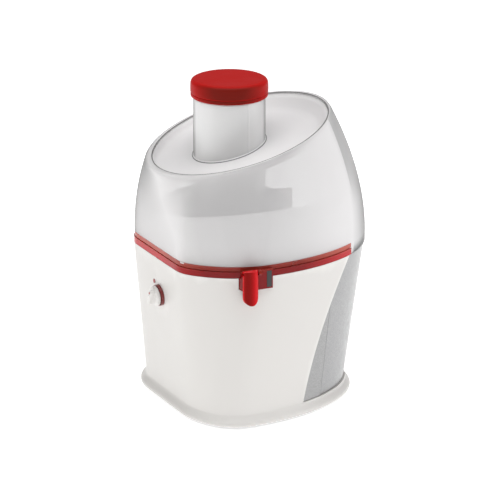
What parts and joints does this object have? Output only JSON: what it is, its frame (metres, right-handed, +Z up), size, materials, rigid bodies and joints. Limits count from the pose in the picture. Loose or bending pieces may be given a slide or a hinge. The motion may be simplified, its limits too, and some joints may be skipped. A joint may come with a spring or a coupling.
{
  "type": "centrifugal juicer",
  "caption": "Compact centrifugal juicer: tapered white base with knob, red juice tray and tilting spout nose, clear sloping lid with feed chute, red-capped pusher and silver pulp container.",
  "frame": {"origin": "centre of the footprint's box, on the surface that the rubber feet stand on", "axes": "+Z up, +X towards the pulp container, -X towards the control knob, -Y the front with the juice spout"},
  "size_m": [0.233, 0.2473, 0.33],
  "materials": {
    "white_housing": "satin moulded white plastic",
    "white_guard": "smooth white plastic",
    "white_knob": "satin moulded white plastic",
    "dark_red_plastic": "glossy deep red plastic",
    "red_mark": "small raised red mark",
    "grey_trim": "silver-grey sprayed plastic, seen as a painted finish",
    "silver_container": "silver sprayed finish",
    "grey_inner": "plain grey plastic",
    "red_tray": "translucent red plastic",
    "red_nose": "glossy red plastic",
    "red_cap": "glossy red plastic",
    "clear_lid": "clear smoky plastic, seen as glass",
    "clear_chute": "clear plastic, seen as glass",
    "clear_pusher": "clear plastic, seen as glass",
    "basket_steel": "stainless steel sheet",
    "basket_plastic": "dark grey plastic",
    "latch_plastic": "silver-grey plastic",
    "black_pin": "black plastic",
    "black_plastic": "black plastic",
    "rubber_feet": "soft dark rubber",
    "rubber_inner": "soft black rubber",
    "steel_parts": "bright turned steel",
    "zinc_brackets": "die-cast bracket",
    "lamination_steel": "stacked electrical steel sheets",
    "copper_windings": "enamelled copper wire",
    "carbon": "carbon block"
  },
  "bodies": {
    "base": {"base_housing": "white_housing", "front_side_trim": "grey_trim", "rear_side_trim": "grey_trim", "dock_wall": "grey_inner", "motor_deck": "white_housing", "bottom_plate": "grey_inner", "rubber_feet": "rubber_feet", "base_screws": "steel_parts", "screw_bosses": "grey_inner", "cord_gland": "black_plastic", "knob_bezel": "dark_red_plastic", "speed_switch": "black_plastic", "switch_bracket": "white_housing", "off_mark": "red_mark", "lower_motor_bracket": "zinc_brackets", "upper_motor_bracket": "zinc_brackets", "motor_posts": "steel_parts", "post_sleeves": "grey_inner", "motor_mounts": "rubber_inner", "stator_core": "lamination_steel", "field_coils": "copper_windings", "brush_holders": "grey_inner", "carbon_brushes": "carbon", "lower_bearing": "steel_parts", "upper_bearing": "steel_parts", "shaft_seal": "rubber_inner", "seal_seat": "white_guard", "latch_pin": "steel_parts", "latch_bracket": "white_housing", "interlock_switch": "black_plastic"},
    "rotor": {"motor_shaft": "steel_parts", "armature_core": "lamination_steel", "armature_windings": "copper_windings", "commutator": "copper_windings", "cooling_fan": "black_plastic", "drive_coupler": "basket_plastic"},
    "knob": {"control_knob": "white_knob", "knob_pointer": "red_mark", "switch_spindle": "steel_parts"},
    "tray": {"juice_tray": "red_tray", "pulp_guard": "white_guard", "nose_pin": "black_pin", "spout_plug": "black_pin"},
    "nose": {"drip_nose": "red_nose"},
    "basket": {"basket_mesh": "basket_steel", "basket_rim": "basket_plastic", "basket_hub": "basket_plastic", "grater_disc": "basket_steel", "grater_teeth": "basket_steel"},
    "lid": {"lid_shell": "clear_lid", "lid_catch": "clear_lid", "feed_chute": "clear_chute"},
    "pusher": {"pusher_body": "clear_pusher", "pusher_sole": "clear_pusher", "pusher_cap": "red_cap"},
    "container": {"pulp_container": "silver_container"},
    "latch": {"latch_lever": "latch_plastic"},
    "plunger": {"interlock_plunger": "black_plastic"}
  },
  "joints": [
    {"name": "motor_spin", "type": "hinge", "parent": "base", "child": "rotor", "pos_m": [-0.03021, -0.01115, 0.06], "axis": [0, 0, 1], "continuous": true},
    {"name": "knob_turn", "type": "hinge", "parent": "base", "child": "knob", "pos_m": [-0.10284, -0.01303, 0.1168], "axis": [-0.9957, 0, -0.0926], "range_deg": [0, 90]},
    {"name": "tray_lift", "type": "slide", "parent": "base", "child": "tray", "axis": [0, 0, 1], "range_m": [0, 0.12]},
    {"name": "nose_tilt", "type": "hinge", "parent": "tray", "child": "nose", "pos_m": [-0.05401, -0.11905, 0.163], "axis": [1, 0, 0], "range_deg": [-75, 0]},
    {"name": "basket_spin", "type": "hinge", "parent": "tray", "child": "basket", "pos_m": [-0.03021, -0.01115, 0.16], "axis": [0, 0, 1], "continuous": true},
    {"name": "lid_lift", "type": "slide", "parent": "tray", "child": "lid", "axis": [0, 0, 1], "range_m": [0, 0.16]},
    {"name": "pusher_lift", "type": "slide", "parent": "lid", "child": "pusher", "axis": [0, 0, 1], "range_m": [0, 0.14]},
    {"name": "container_slide", "type": "slide", "parent": "base", "child": "container", "axis": [1, 0, 0], "range_m": [0, 0.12]},
    {"name": "latch_swing", "type": "hinge", "parent": "base", "child": "latch", "pos_m": [-0.03921, 0.09745, 0.122], "axis": [1, 0, 0], "range_deg": [0, 22]},
    {"name": "plunger_press", "type": "slide", "parent": "base", "child": "plunger", "axis": [0, -1, 0], "range_m": [0, 0.0021]}
  ],
  "couplings": [
    {"joint": "basket_spin", "follows": "motor_spin", "ratio": 1},
    {"joint": "plunger_press", "follows": "latch_swing", "m_per_rad": 0.0052}
  ]
}
